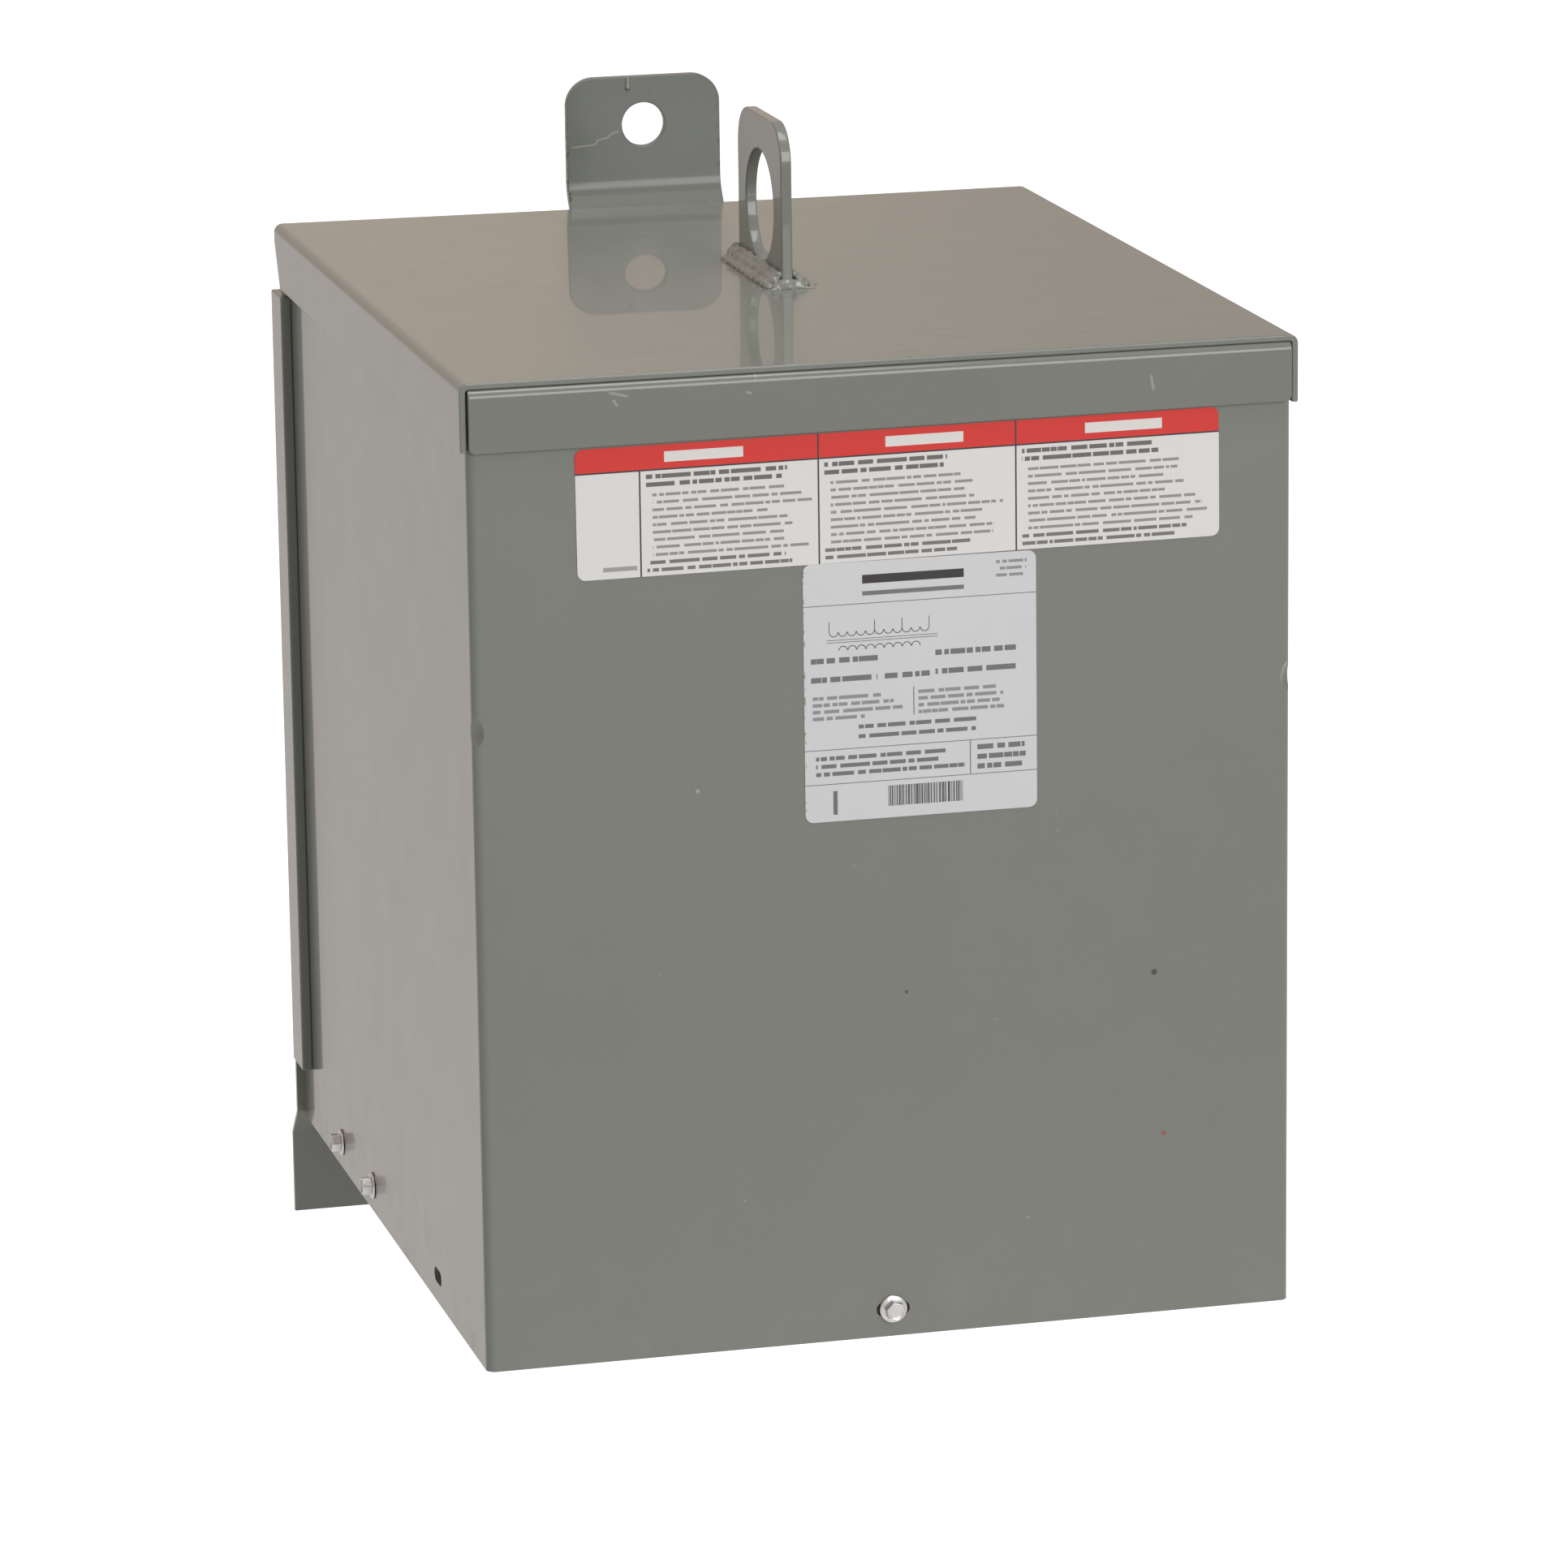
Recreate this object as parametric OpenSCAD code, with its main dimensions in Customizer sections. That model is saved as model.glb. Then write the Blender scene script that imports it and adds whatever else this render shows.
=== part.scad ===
// General purpose transformer: a potted, wall-hung unit in a painted sheet-steel enclosure.
// Units are millimetres, +Z is up and the front faces -Y.
// The origin is on the wall plane, midway between the two holes of the foot.
// Inside at_enclosure(), y = 0 is the back of the enclosure and z = 0 is its bottom edge.

/* [Enclosure] */
// Width of the enclosure across its side walls
body_w = 306; // [260:1:400]
// Depth from the back plate to the front wall
body_d = 351; // [320:1:450]
// Height from the bottom edge to the top of the lid
body_h = 366; // [320:1:480]
// Thickness of the wrapped front and side sheet
wrap_t = 2.0; // [1.2:0.1:2.4]
// Outer radius of the bends in the wrapped sheet
bend_r = 3.5; // [3:0.5:6]
// Height of the dimple in each front corner
dimple_z = 239; // [120:1:280]
// Depth of the dimple, measured into the corner
dimple_depth = 1.8; // [0.5:0.1:2.5]

/* [Lid] */
// Thickness of the lid sheet
lid_t = 2.4; // [1.6:0.1:3]
// Height of the flanges that turn down over the side walls
lid_flange_h = 25; // [15:1:40]
// How far the front edge of the lid stands past the front wall
lid_overhang = 0.5; // [0:0.5:10]
// Length clipped off each flange at its back end
lid_clip = 10; // [2:1:20]
// Thickness of the drip lip under the front edge of the lid
lip_t = 2.2; // [1.6:0.1:2.5]
// Height of the drip lip
lip_h = 23; // [12:1:35]
// Gap between each end of the drip lip and the lid flange
lip_gap = 0.5; // [0.2:0.1:2]

/* [Back plate and foot] */
// Thickness of the back plate
back_t = 2.4; // [1.6:0.1:3]
// Distance from the back plate to the wall
wall_gap = 11.5; // [9:0.5:14]
// How far the foot reaches below the enclosure
foot_drop = 43.5; // [35:0.5:60]
// How far the back plate stands past each side wall below the seam strips
foot_step = 3.5; // [0:0.5:4]
// Height of the foot holes above the lower edge of the foot
foot_hole_up = 17.5; // [12:0.5:18]
// Distance between the two foot holes
foot_hole_spacing = 200; // [120:10:230]
// Diameter of the foot holes
foot_hole_d = 11; // [7:0.5:13]
// Thickness of the seam strips at the back corners
strip_t = 4.2; // [3:0.1:6]
// Depth of the seam strips along the side walls
strip_d = 20; // [10:1:30]
// Height at which the seam strips end above the bottom edge
strip_bottom = 24; // [10:1:60]

/* [Wall bracket] */
// Width of the wall bracket
bracket_w = 63; // [40:0.5:90]
// Thickness of the wall bracket
bracket_t = 4; // [3:0.5:5]
// Height of the bracket above the lid
bracket_up = 51.5; // [45:0.5:80]
// Length of the bracket that lies on the back plate
bracket_down = 70; // [40:1:120]
// Sideways offset of the bracket from the middle
bracket_x = -2.5; // [-20:0.5:20]
// Height above the top of the lid at which the bracket starts to lean back to the wall
bracket_jog_z = -6; // [-8:1:2]
// Height of the bracket hole above the lid
bracket_hole_up = 32; // [28:1:36]
// Diameter of the bracket hole
bracket_hole_d = 17.5; // [10:0.5:20]
// Radius of the top corners of the bracket
bracket_corner_r = 11.5; // [4:0.5:20]

/* [Lifting eye] */
// Width of the lifting eye, front to back
eye_w = 66; // [56:1:90]
// Height of the lifting eye above the lid
eye_h = 62.5; // [58:0.5:80]
// Thickness of the lifting eye
eye_t = 4.4; // [3:0.2:8]
// Sideways offset of the lifting eye from the middle
eye_x = 1.5; // [-20:0.5:20]
// Distance from the back of the enclosure to the middle of the lifting eye
eye_back = 174; // [120:1:180]
// Diameter of the hole in the lifting eye
eye_hole_d = 42; // [20:1:42]
// Height of that hole's centre above the lid
eye_hole_up = 28; // [26:0.2:31]
// Radius of the top corners of the lifting eye
eye_corner_r = 15; // [4:1:20]
// Leg length of the weld bead around the lifting eye
weld_leg = 6.5; // [3:0.5:8]

/* [Bottom cover and screws] */
// Thickness of the bottom cover
cover_t = 2.0; // [1.2:0.1:3]
// Height of the flange around the bottom cover
cover_flange_h = 20; // [16:1:30]
// Height of the screw line above the bottom edge
screw_z = 10.5; // [8:0.5:12]
// Diameter of the screw threads
screw_d = 4.8; // [3:0.1:5]
// Length of the screws below the head
screw_len = 14; // [8:1:25]
// Diameter of the round flange under the screw head
screw_flange_d = 10.5; // [8:0.5:12]
// Distance across the corners of the hexagonal screw head
screw_hex_d = 7.8; // [5:0.1:8]
// Length of the slots that the screws pass through
slot_l = 12.7; // [8:0.1:20]
// Height of those slots
slot_h = 5.6; // [5.2:0.1:8]

/* [Labels] */
// Thickness of the labels
label_t = 0.3; // [0.2:0.1:0.6]
// Width of the wide label
wide_label_w = 239.2; // [120:0.1:250]
// Height of the wide label
wide_label_h = 47.6; // [30:0.1:60]
// Sideways offset of the wide label from the middle
wide_label_x = 5.7; // [0:0.1:6]
// Width of the rating label
rating_label_w = 87.1; // [50:0.1:120]
// Height of the rating label
rating_label_h = 95.5; // [50:0.5:120]
// Sideways offset of the rating label from the middle
rating_label_x = 12.5; // [-40:0.5:40]
// Radius of the label corners
label_r = 3; // [1:0.5:6]

/* [Inside] */
// Height of the wiring space under the potted core
wiring_h = 95; // [40:5:140]

/* [Hidden] */
$fn = 64;
paint = "#7a7f78";
paint_dark = "#6c726c";
zinc = "#b9bcc0";

enclosure_z = foot_drop - foot_hole_up;   // height of the bottom edge above the origin
half_w = body_w / 2;
lid_under = body_h - lid_t;               // underside of the lid sheet
wrap_top = lid_under - lip_t;             // the drip lip's upper leg lies on this edge
wrap_in_r = bend_r - wrap_t;              // inner radius of the wrap's bends
front_in = body_d - wrap_t;               // depth of the front wall's inner face
lip_bend_r = lip_t + 1;                   // outer radius of the drip lip's bend
lip_leg = 16;                             // reach of the drip lip's upper leg under the lid
lip_corner_r = 2.5;                       // rounding of the drip lip's lower corners
dimple_r = 9;                             // radius of the round tool that pressed the dimples
jog_low_r = 4;                            // inner radius of the bracket's lower bend
jog_high_r = 12;                          // inner radius of its upper bend
jog_lean = 35;                            // slope of the bracket between them, from the vertical
foot_jog_z = 2;                           // height at which the foot starts to step back
foot_jog_h = 12;                          // height that this step takes
label_gap = 0.2;                          // clear height between neighbouring labels and the lip
hex_h = 3.6;                              // height of the hexagonal head above its flange
flange_h = 1;                             // thickness of the round flange
core_clear = 1.4;                         // space between the potted core and the wrap's top edge
bore_extra = 1;                           // how far a cutting tool runs past each face
side_screws = [-79, -141];                // screws along each side wall, from the back
side_spare = -264;                        // slot with no screw on each side wall

// Points of an arc around centre c, from angle a0 to angle a1
function arc(c, r, a0, a1, steps = 8) =
    [for (i = [0 : steps]) c + r * [cos(a0 + (a1 - a0) * i / steps), sin(a0 + (a1 - a0) * i / steps)]];

// Moves its children from the enclosure's own frame to the part's frame
module at_enclosure() {
    translate([0, -wall_gap, enclosure_z]) children();
}

// Extrudes a shape drawn in (y, z) along X, centred on x = 0
module along_x(length) {
    rotate([90, 0, 90]) linear_extrude(length, center = true) children();
}

// Extrudes a shape drawn in (x, z) along -Y, from y = 0 to y = -length
module along_minus_y(length) {
    rotate([90, 0, 0]) linear_extrude(length) children();
}

// Rectangle standing on y = 0 with its two upper corners rounded
module tab_outline(w, h, r) {
    translate([-w / 2, 0]) square([w, h - r]);
    translate([-w / 2 + r, 0]) square([w - 2 * r, h]);
    for (side = [-1, 1]) translate([side * (w / 2 - r), h - r]) circle(r);
}

// Rectangle centred on the origin with four rounded corners
module rounded_rect(w, h, r) {
    square([w - 2 * r, h], center = true);
    square([w, h - 2 * r], center = true);
    for (x = [-1, 1], y = [-1, 1]) translate([x * (w / 2 - r), y * (h / 2 - r)]) circle(r);
}

// Horizontal slot, drawn about its centre
module slot_outline(l, h) {
    square([l - h, h], center = true);
    for (side = [-1, 1]) translate([side * (l - h) / 2, 0]) circle(h / 2);
}

// Plan of the enclosure with its two front corners rounded, open towards the back plate
module plan(w, front, r) {
    translate([0, -back_t]) mirror([0, 1]) tab_outline(w, front - back_t, r);
}

// Places a child at the front screw, with +Z pointing out of the front wall
module at_front_screw() {
    translate([0, -body_d, screw_z]) rotate([90, 0, 0]) children();
}

// Places a child on a side wall at depth y, with +Z pointing out of that wall
module at_side(side, y) {
    translate([side * half_w, y, screw_z]) rotate([90, 0, side * 90]) children();
}

// Runs its children at every place where the wrap has a slot
module at_each_slot() {
    at_front_screw() children();
    for (side = [-1, 1], y = concat(side_screws, [side_spare])) at_side(side, y) children();
}

module enclosure_wrap() {
    cut = 2 * wrap_t;
    color(paint) at_enclosure() difference() {
        linear_extrude(wrap_top) difference() {
            plan(body_w, body_d, bend_r);
            translate([0, bore_extra]) plan(body_w - 2 * wrap_t, front_in + bore_extra, wrap_in_r);
        }
        at_each_slot() linear_extrude(cut, center = true) slot_outline(slot_l, slot_h);
        for (side = [-1, 1]) dimple_tool(side);
    }
}

// Ball that presses a dimple into a front corner of the wrap
module dimple_tool(side) {
    bend_point = [side * (half_w - bend_r), -body_d + bend_r];
    outwards = [side, -1] / sqrt(2);
    centre = bend_point + (bend_r + dimple_r - dimple_depth) * outwards;
    translate([centre.x, centre.y, dimple_z]) sphere(dimple_r);
}

module back_plate() {
    foot_w = body_w + 2 * foot_step;
    foot_top = foot_jog_z - foot_jog_h;
    color(paint_dark) at_enclosure() difference() {
        union() {
            translate([-half_w, -back_t, foot_jog_z]) cube([body_w, back_t, lid_under - foot_jog_z]);
            translate([-foot_w / 2, -back_t, foot_jog_z]) cube([foot_w, back_t, strip_bottom - foot_jog_z]);
            along_x(foot_w) polygon([
                [-back_t, foot_jog_z], [0, foot_jog_z], [wall_gap, foot_top], [wall_gap, -foot_drop],
                [wall_gap - back_t, -foot_drop], [wall_gap - back_t, foot_top]
            ]);
        }
        for (side = [-1, 1])
            translate([side * foot_hole_spacing / 2, wall_gap + bore_extra, foot_hole_up - foot_drop])
                rotate([90, 0, 0]) cylinder(d = foot_hole_d, h = back_t + 2 * bore_extra);
    }
}

module seam_strip(side) {
    strip_top = body_h - lid_flange_h;
    color(paint_dark) at_enclosure()
        translate([side > 0 ? half_w : -half_w - strip_t, -strip_d, strip_bottom])
            cube([strip_t, strip_d, strip_top - strip_bottom]);
}

module lid_sheet() {
    outer_w = body_w + 2 * lid_t;
    length = body_d + lid_overhang;
    color(paint) at_enclosure() difference() {
        along_minus_y(length) difference() {
            translate([0, body_h - lid_flange_h]) tab_outline(outer_w, lid_flange_h, lid_t + 1);
            translate([0, body_h - lid_flange_h - bore_extra])
                tab_outline(body_w, lid_flange_h + bore_extra - lid_t, 1);
        }
        along_x(outer_w + 2 * bore_extra) polygon([
            [bore_extra, lid_under - 2 * lid_t], [0, lid_under - 2 * lid_t],
            [-lid_clip, body_h - lid_flange_h - bore_extra], [bore_extra, body_h - lid_flange_h - bore_extra]
        ]);
    }
}

module lid_lip() {
    lip_w = body_w - 2 * lip_gap;
    face = -body_d - lip_t;
    bend = [face + lip_bend_r, lid_under - lip_bend_r];
    color(paint) at_enclosure() intersection() {
        along_x(lip_w) polygon(concat(
            [[face, lid_under - lip_h]],
            arc(bend, lip_bend_r, 180, 90),
            [[face + lip_leg, lid_under], [face + lip_leg, lid_under - lip_t]],
            arc(bend, lip_bend_r - lip_t, 90, 180),
            [[face + lip_t, lid_under - lip_h]]
        ));
        along_minus_y(body_d + lip_t) translate([0, lid_under]) mirror([0, 1])
            tab_outline(lip_w, lip_h, lip_corner_r);
    }
}

// Side view of the bracket: flat on the back plate, then leaning back to the wall, with round bends
module bracket_section() {
    step = wall_gap - bracket_t;
    bends = jog_low_r + bracket_t + jog_high_r;           // the two radii along the front face
    slope = (step - bends * (1 - cos(jog_lean))) / sin(jog_lean);
    low_z = body_h + bracket_jog_z;
    high_z = low_z + bends * sin(jog_lean) + slope * cos(jog_lean);
    low_in = [bracket_t + jog_low_r, low_z];              // centre of the lower bend
    high_in = [step - jog_high_r, high_z];                // centre of the upper bend
    polygon(concat(
        [[0, body_h - bracket_down]],
        arc(low_in, jog_low_r + bracket_t, 180, 180 - jog_lean),
        arc(high_in, jog_high_r, -jog_lean, 0),
        [[step, body_h + bracket_up], [wall_gap, body_h + bracket_up]],
        arc(high_in, jog_high_r + bracket_t, 0, -jog_lean),
        arc(low_in, jog_low_r, 180 - jog_lean, 180),
        [[bracket_t, body_h - bracket_down]]
    ));
}

module wall_bracket() {
    color(paint) at_enclosure() translate([bracket_x, 0, 0]) difference() {
        intersection() {
            along_x(bracket_w) bracket_section();
            translate([0, wall_gap + bore_extra, body_h - bracket_down])
                along_minus_y(wall_gap + 2 * bore_extra)
                    tab_outline(bracket_w, bracket_down + bracket_up, bracket_corner_r);
        }
        translate([0, wall_gap + bore_extra, body_h + bracket_hole_up]) rotate([90, 0, 0])
            cylinder(d = bracket_hole_d, h = bracket_t + 2 * bore_extra);
    }
}

// Quarter-round bead along +Z, filling the corner between the planes x = 0 and y = 0
module bead(length) {
    linear_extrude(length) intersection() {
        circle(weld_leg);
        square(weld_leg);
    }
}

// Bead down one edge of the bracket, in the corner between the bracket and the back plate
module bracket_weld(side) {
    length = bracket_down - 20;
    color(paint_dark) at_enclosure()
        translate([bracket_x + side * bracket_w / 2, 0, body_h - bracket_down + 5]) {
            linear_extrude(length) intersection() {
                circle(bracket_t);
                if (side > 0) square(bracket_t); else mirror([1, 0]) square(bracket_t);
            }
        }
}

module lifting_eye() {
    color(paint) at_enclosure() translate([eye_x, -eye_back, body_h]) difference() {
        along_x(eye_t) tab_outline(eye_w, eye_h, eye_corner_r);
        translate([0, 0, eye_hole_up]) rotate([0, 90, 0])
            cylinder(d = eye_hole_d, h = eye_t + 2 * bore_extra, center = true);
    }
}

// Bead along one broad side of the lifting eye; it runs past both ends by one leg length
module eye_weld_side(side) {
    length = eye_w + 2 * weld_leg;
    color(paint) at_enclosure() translate([eye_x + side * eye_t / 2, -eye_back + length / 2, body_h])
        rotate([90, 0, 0])
            if (side > 0) bead(length); else mirror([1, 0]) bead(length);
}

// Bead across the front (end = -1) or back (end = 1) edge of the lifting eye
module eye_weld_end(end) {
    color(paint) at_enclosure() translate([eye_x - eye_t / 2, -eye_back + end * eye_w / 2, body_h])
        rotate([90, 0, 90])
            if (end > 0) bead(eye_t); else mirror([1, 0]) bead(eye_t);
}

module bottom_cover() {
    cut = 4 * cover_t;
    color(paint_dark) at_enclosure() difference() {
        linear_extrude(cover_flange_h) plan(body_w - 2 * wrap_t, front_in, wrap_in_r);
        translate([0, -cover_t, cover_t]) linear_extrude(cover_flange_h)
            plan(body_w - 2 * wrap_t - 2 * cover_t, front_in - 2 * cover_t, wrap_in_r);
        at_each_slot() translate([0, 0, -wrap_t]) cylinder(d = screw_d, h = cut, center = true);
    }
}

module potted_core() {
    color("#4a4a46") at_enclosure() translate([0, 0, wiring_h])
        linear_extrude(wrap_top - core_clear - wiring_h)
            plan(body_w - 2 * wrap_t, front_in, wrap_in_r);
}

// Hexagonal screw with a round flange; the flange sits on z = 0 and the thread points to -Z
module screw() {
    color(zinc) {
        translate([0, 0, -screw_len]) cylinder(d = screw_d, h = screw_len);
        cylinder(d = screw_flange_d, h = flange_h);
        translate([0, 0, flange_h]) intersection() {
            cylinder(d = screw_hex_d, h = hex_h, $fn = 6);
            cylinder(d1 = screw_hex_d + 2 * hex_h, d2 = screw_hex_d - 1, h = hex_h);
        }
    }
}

module screw_front() {
    at_enclosure() at_front_screw() screw();
}

module side_screw(side, index) {
    at_enclosure() at_side(side, side_screws[index]) screw();
}

// Flat sticker on the front wall, hung from its top edge
module label(x, top, w, h) {
    at_enclosure() translate([x, -body_d, top - h / 2])
        along_minus_y(label_t) rounded_rect(w, h, label_r);
}

wide_label_top = lid_under - lip_h - label_gap;
rating_label_top = wide_label_top - wide_label_h - label_gap;

module wide_label() {
    color("#e9e8e2") label(wide_label_x, wide_label_top, wide_label_w, wide_label_h);
}

module rating_label() {
    color("#d3d5d3") label(rating_label_x, rating_label_top, rating_label_w, rating_label_h);
}

enclosure_wrap();
back_plate();
seam_strip(-1);  // seam_strip_left
seam_strip(1);  // seam_strip_right
lid_sheet();
lid_lip();
wall_bracket();
bracket_weld(-1);  // bracket_weld_left
bracket_weld(1);  // bracket_weld_right
lifting_eye();
eye_weld_side(-1);  // eye_weld_left
eye_weld_side(1);  // eye_weld_right
eye_weld_end(-1);  // eye_weld_front
eye_weld_end(1);  // eye_weld_back
bottom_cover();
potted_core();
screw_front();
side_screw(-1, 0);  // screw_left_back
side_screw(-1, 1);  // screw_left_middle
side_screw(1, 0);  // screw_right_back
side_screw(1, 1);  // screw_right_middle
wide_label();
rating_label();
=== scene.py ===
# %% [markdown]
# # A wall-hung transformer in a painted steel box
# The real object is a potted transformer: a core and coils cast into resin inside a box of folded
# sheet steel. A lid with a drip lip is welded on top, with a lifting eye on it, and a bracket and
# a foot hold the box on a wall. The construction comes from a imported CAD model. This script gives
# it its finish: rounded sheet edges, weld beads, screws, printed labels and glossy enamel.

# %% Load the frame
import math
import random

import bmesh
import bpy
from mathutils import Matrix, Vector


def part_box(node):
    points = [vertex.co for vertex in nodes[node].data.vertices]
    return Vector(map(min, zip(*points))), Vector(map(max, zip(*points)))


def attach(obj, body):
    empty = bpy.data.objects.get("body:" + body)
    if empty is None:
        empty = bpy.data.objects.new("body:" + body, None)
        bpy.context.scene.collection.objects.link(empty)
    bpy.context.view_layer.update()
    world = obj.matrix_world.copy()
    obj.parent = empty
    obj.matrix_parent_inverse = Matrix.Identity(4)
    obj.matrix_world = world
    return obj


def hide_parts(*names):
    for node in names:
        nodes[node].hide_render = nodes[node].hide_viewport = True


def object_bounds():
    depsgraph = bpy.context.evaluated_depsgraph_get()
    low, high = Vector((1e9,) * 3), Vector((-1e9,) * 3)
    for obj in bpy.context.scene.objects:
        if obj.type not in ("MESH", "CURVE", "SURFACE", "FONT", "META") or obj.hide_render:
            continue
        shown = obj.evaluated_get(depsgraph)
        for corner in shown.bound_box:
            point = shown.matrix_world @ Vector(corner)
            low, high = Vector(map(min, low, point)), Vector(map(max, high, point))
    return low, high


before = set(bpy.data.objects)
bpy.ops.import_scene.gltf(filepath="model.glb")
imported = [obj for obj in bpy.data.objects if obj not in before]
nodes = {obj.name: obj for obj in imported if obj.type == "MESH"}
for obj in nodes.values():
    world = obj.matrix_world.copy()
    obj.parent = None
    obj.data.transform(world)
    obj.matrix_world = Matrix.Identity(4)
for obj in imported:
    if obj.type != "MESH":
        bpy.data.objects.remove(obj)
cad_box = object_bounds()
print("loaded", len(nodes), "CAD nodes; box", [round(x, 4) for corner in cad_box for x in corner])

# %% [markdown]
# ## The camera
# A product picture like this is taken with a long lens from about three metres, so that the box
# hardly tapers. The camera is placed by the direction that it looks from, and it is turned a
# little about its own axis, because the tripod head was not quite level.

# %% Camera
LOOK_AT = Vector((0.0056, -0.187, 0.194))
AZIMUTH = math.radians(-14.229)
ELEVATION = math.radians(13.770)
ROLL = math.radians(-0.752)
DISTANCE = 2.923
LENS = 174.09


def direction(azimuth, elevation):
    """Unit vector from the object towards a viewer; azimuth 0 is straight in front."""
    flat = math.cos(elevation)
    return Vector((math.sin(azimuth) * flat, -math.cos(azimuth) * flat, math.sin(elevation)))


def aimed(place, target, roll=0.0):
    """Matrix of a camera or lamp at place, looking at target and rolled about its own axis."""
    back = (place - target).normalized()
    level = Vector((0, 0, 1)).cross(back).normalized()
    upright = back.cross(level)
    right = math.cos(roll) * level + math.sin(roll) * upright
    up = math.cos(roll) * upright - math.sin(roll) * level
    turn = Matrix((right, up, back)).transposed().to_4x4()
    return Matrix.Translation(place) @ turn


camera_data = bpy.data.cameras.new("camera")
camera_data.lens = LENS
camera_data.sensor_width = 36
camera = bpy.data.objects.new("camera", camera_data)
bpy.context.scene.collection.objects.link(camera)
camera.matrix_world = aimed(LOOK_AT + DISTANCE * direction(AZIMUTH, ELEVATION), LOOK_AT, ROLL)
bpy.context.scene.camera = camera
print("camera at", [round(x, 3) for x in camera.matrix_world.translation])

# %% [markdown]
# ## Shader sums as Python
# A finish is mostly sums on masks: this noise times that stripe, plus a spot. Wiring dozens of
# Math nodes by hand is hard to read. So a small class wraps a socket, and an ordinary Python
# operator on it adds the Math node. Every other node comes from one method.


# %% A socket that can be added and multiplied
class Value:
    """A shader socket. Arithmetic on it adds Math nodes to its graph."""

    def __init__(self, graph, socket):
        self.graph = graph
        self.socket = socket

    def _math(self, operation, a, b):
        return self.graph.node("ShaderNodeMath", {"operation": operation}, {0: a, 1: b})

    def __add__(self, other):
        return self._math("ADD", self, other)

    __radd__ = __add__

    def __sub__(self, other):
        return self._math("SUBTRACT", self, other)

    def __rsub__(self, other):
        return self._math("SUBTRACT", other, self)

    def __mul__(self, other):
        return self._math("MULTIPLY", self, other)

    __rmul__ = __mul__

    def __truediv__(self, other):
        return self._math("DIVIDE", self, other)

    def __gt__(self, other):
        return self._math("GREATER_THAN", self, other)

    def __lt__(self, other):
        return self._math("LESS_THAN", self, other)

    def __abs__(self):
        return self._math("ABSOLUTE", self, 0.0)

    def floor(self):
        return self._math("FLOOR", self, 0.0)

    def highest(self, other):
        return self._math("MAXIMUM", self, other)

    def rise(self, low, high):
        """0 below low, 1 above high, and smooth between them."""
        ends = {"Value": self, "From Min": low, "From Max": high}
        return self.graph.node("ShaderNodeMapRange", {"interpolation_type": "SMOOTHSTEP"}, ends)

    def between(self, low, high, soft=0.1):
        """1 from low to high, with edges that are soft wide."""
        half = soft / 2
        past_low = self.rise(low - half, low + half)
        past_high = self.rise(high - half, high + half)
        return past_low * (1 - past_high)


# %% A graph that holds the nodes of one material
def srgb(red, green, blue):
    """Linear colour of an 8-bit sRGB colour."""
    linear = [
        c / 255 / 12.92 if c < 11 else ((c / 255 + 0.055) / 1.055) ** 2.4 for c in (red, green, blue)
    ]
    return (*linear, 1.0)


class Graph:
    """One node tree, with short ways to add to it."""

    def __init__(self, tree):
        self.tree = tree
        tree.nodes.clear()

    def node(self, kind, settings=None, inputs=None, out=0):
        """Adds a node: its settings first, then its sockets' values or links."""
        made = self.tree.nodes.new(kind)
        for name, setting in (settings or {}).items():
            setattr(made, name, setting)
        for name, given in (inputs or {}).items():
            if isinstance(given, Value):
                self.tree.links.new(given.socket, made.inputs[name])
            else:
                made.inputs[name].default_value = given
        return Value(self, made.outputs[out])

    def place(self):
        """Position on the object, in metres."""
        return self.node("ShaderNodeTexCoord", out="Object")

    def axes(self, place):
        """x, y and z of a vector."""
        x = self.node("ShaderNodeSeparateXYZ", None, {0: place})
        outputs = x.socket.node.outputs
        return x, Value(self, outputs[1]), Value(self, outputs[2])

    def noise(self, place, scale, detail=2.0, rough=0.5):
        """Noise from 0 to 1 with scale cells to the metre."""
        sockets = {"Vector": place, "Scale": scale, "Detail": detail, "Roughness": rough}
        return self.node("ShaderNodeTexNoise", None, sockets)

    def noise_along(self, position, scale):
        """Noise from 0 to 1 along a line."""
        sockets = {"W": position, "Scale": scale, "Detail": 1.0}
        return self.node("ShaderNodeTexNoise", {"noise_dimensions": "1D"}, sockets)

    def mix(self, factor, a, b):
        """Colour a where factor is 0 and b where it is 1."""
        sockets = {0: factor, 6: a, 7: b}
        return self.node("ShaderNodeMix", {"data_type": "RGBA"}, sockets, out=2)

    def shade(self, colour, amount):
        """A colour made lighter or darker by an amount that varies around 1."""
        scaled = {0: colour if isinstance(colour, Value) else colour[:3], "Scale": amount}
        return self.node("ShaderNodeVectorMath", {"operation": "SCALE"}, scaled)

    def spot(self, place, centre, radius, soft):
        """1 inside a ball around centre, fading over soft."""
        sockets = {0: place, 1: centre}
        away = self.node("ShaderNodeVectorMath", {"operation": "DISTANCE"}, sockets, out="Value")
        return 1 - away.rise(radius - soft, radius + soft)

    def bump(self, height, depth, under=None):
        """Normal of a surface raised by height times depth, in metres."""
        sockets = {"Height": height, "Distance": depth, "Strength": 1.0}
        if under is not None:
            sockets["Normal"] = under
        return self.node("ShaderNodeBump", None, sockets)

    def surface(self, **sockets):
        """Principled shader and output. An underscore in a name stands for a space."""
        named = {name.replace("_", " "): given for name, given in sockets.items()}
        shader = self.node("ShaderNodeBsdfPrincipled", None, named)
        self.node_output(shader)

    def node_output(self, shader, kind="ShaderNodeOutputMaterial"):
        """The output node."""
        out = self.tree.nodes.new(kind)
        self.tree.links.new(shader.socket, out.inputs["Surface"])


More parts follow.
